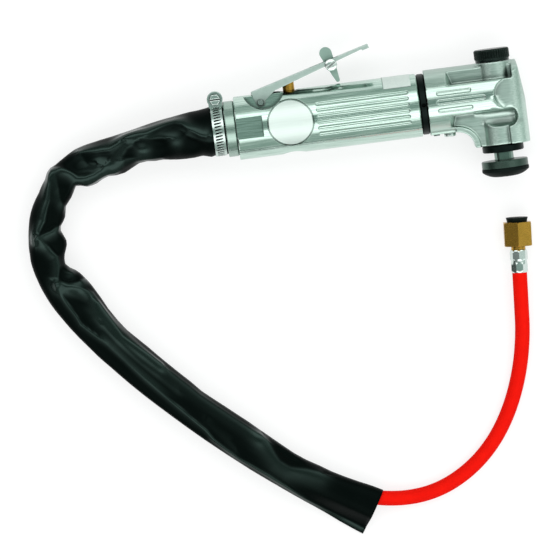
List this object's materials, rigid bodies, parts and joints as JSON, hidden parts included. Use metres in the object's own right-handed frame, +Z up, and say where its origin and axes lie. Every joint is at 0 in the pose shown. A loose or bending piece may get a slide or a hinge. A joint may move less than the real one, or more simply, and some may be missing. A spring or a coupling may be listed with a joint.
{
  "type": "oscillating windscreen cutter",
  "caption": "Hand-held pneumatic cutter with throttle lever, lock-off latch, angle head with blade clamp, exhaust sleeve and air hose; its spindle rocks a blade through bonded glass.",
  "frame": {"origin": "on the floor, under the middle of the tool's box without its hose and sleeve", "axes": "+X along the barrel towards the head, +Y along the spindle from the blade clamp to the knob, +Z up, the tool lying on its side"},
  "size_m": [0.3573, 0.3354, 0.0455],
  "materials": {
    "polished_aluminium": "polished casting",
    "satin_aluminium": "turned, satin",
    "black_oxide_steel": "black oxide, satin",
    "gunmetal_steel": "dark burnished",
    "steel": "machined",
    "stainless_steel": "bright rolled",
    "chromed_steel": "bright plated",
    "zinc": "satin zinc",
    "brass": "machined",
    "black_rubber": "matt",
    "red_hose": "smooth, slightly glossy",
    "black_vinyl": "glossy, limp",
    "black_plastic": "moulded, satin",
    "vane_fibre": "laminated",
    "white_label": "printed film, bare"
  },
  "bodies": {
    "tool": {"motor_housing": "polished_aluminium", "head_housing": "polished_aluminium", "lock_ring": "black_oxide_steel", "head_set_screw": "steel", "grease_plug": "steel", "collar_gasket": "black_rubber", "exhaust_collar": "satin_aluminium", "inlet_bushing": "steel", "clamp_band": "stainless_steel", "clamp_screw_housing": "stainless_steel", "clamp_screw": "steel", "rating_label": "white_label", "lever_pin": "steel", "valve_guide": "brass", "valve_spring": "steel", "rear_end_plate": "steel", "rear_bearing": "steel", "cylinder_liner": "steel", "front_end_plate": "steel", "front_bearing": "steel", "crank_bearing": "steel", "upper_bush": "brass", "lower_bush": "brass", "spindle_seal": "black_rubber", "exhaust_sleeve": "black_vinyl", "air_hose": "red_hose", "hose_ferrule": "steel", "hose_coupling": "brass"},
    "lever": {"throttle_lever": "chromed_steel", "latch_screw": "steel", "latch_spring": "steel"},
    "latch": {"safety_latch": "zinc"},
    "plunger": {"valve_plunger": "brass", "valve_seal": "black_rubber"},
    "rotor": {"rotor": "steel", "rotor_vanes": "vane_fibre", "crank_shaft": "steel", "eccentric_bearing": "steel"},
    "spindle": {"spindle": "steel", "rocker_fork": "steel", "spindle_flange": "black_oxide_steel"},
    "knob": {"clamp_knob": "black_oxide_steel"},
    "clamp": {"clamp_rod": "gunmetal_steel", "disc_cap": "black_plastic"},
    "plug": {"dust_plug": "black_plastic"}
  },
  "joints": [
    {"name": "lever_squeeze", "type": "hinge", "parent": "tool", "child": "lever", "pos_m": [-0.0723, 0.02052, 0.02275], "axis": [0, 0, 1], "range_deg": [-9, 0], "stiffness_Nm_per_rad": 0.8, "springref_deg": 5.73},
    {"name": "latch_turn", "type": "hinge", "parent": "lever", "child": "latch", "pos_m": [-0.02033, 0.04013, 0.02275], "axis": [0, 0, 1], "range_deg": [0, 78]},
    {"name": "plunger_press", "type": "slide", "parent": "tool", "child": "plunger", "axis": [0, -1, 0], "range_m": [0, 0.0036], "deforming": ["valve_spring"]},
    {"name": "rotor_spin", "type": "hinge", "parent": "tool", "child": "rotor", "pos_m": [-0.0343, 0.00442, 0.02275], "axis": [1, 0, 0], "continuous": true},
    {"name": "spindle_swing", "type": "hinge", "parent": "tool", "child": "spindle", "pos_m": [0.0918, 0.00442, 0.02275], "axis": [0, 1, 0], "range_deg": [-2.74, 2.74]},
    {"name": "knob_turn", "type": "hinge", "parent": "spindle", "child": "knob", "pos_m": [0.0918, 0.02832, 0.02275], "axis": [0, -1, 0], "range_deg": [0, 1080]},
    {"name": "clamp_draw", "type": "slide", "parent": "spindle", "child": "clamp", "axis": [0, 1, 0], "range_m": [0, 0.00375]},
    {"name": "dust_plug_pull", "type": "slide", "parent": "tool", "child": "plug", "axis": [0.0708, 0.9975, 0], "range_m": [0, 0.02]}
  ],
  "couplings": [
    {"joint": "latch_turn", "follows": "lever_squeeze", "ratio": -8.6667},
    {"joint": "plunger_press", "follows": "lever_squeeze", "m_per_rad": -0.022918},
    {"joint": "clamp_draw", "follows": "knob_turn", "m_per_rad": 0.00019894}
  ]
}
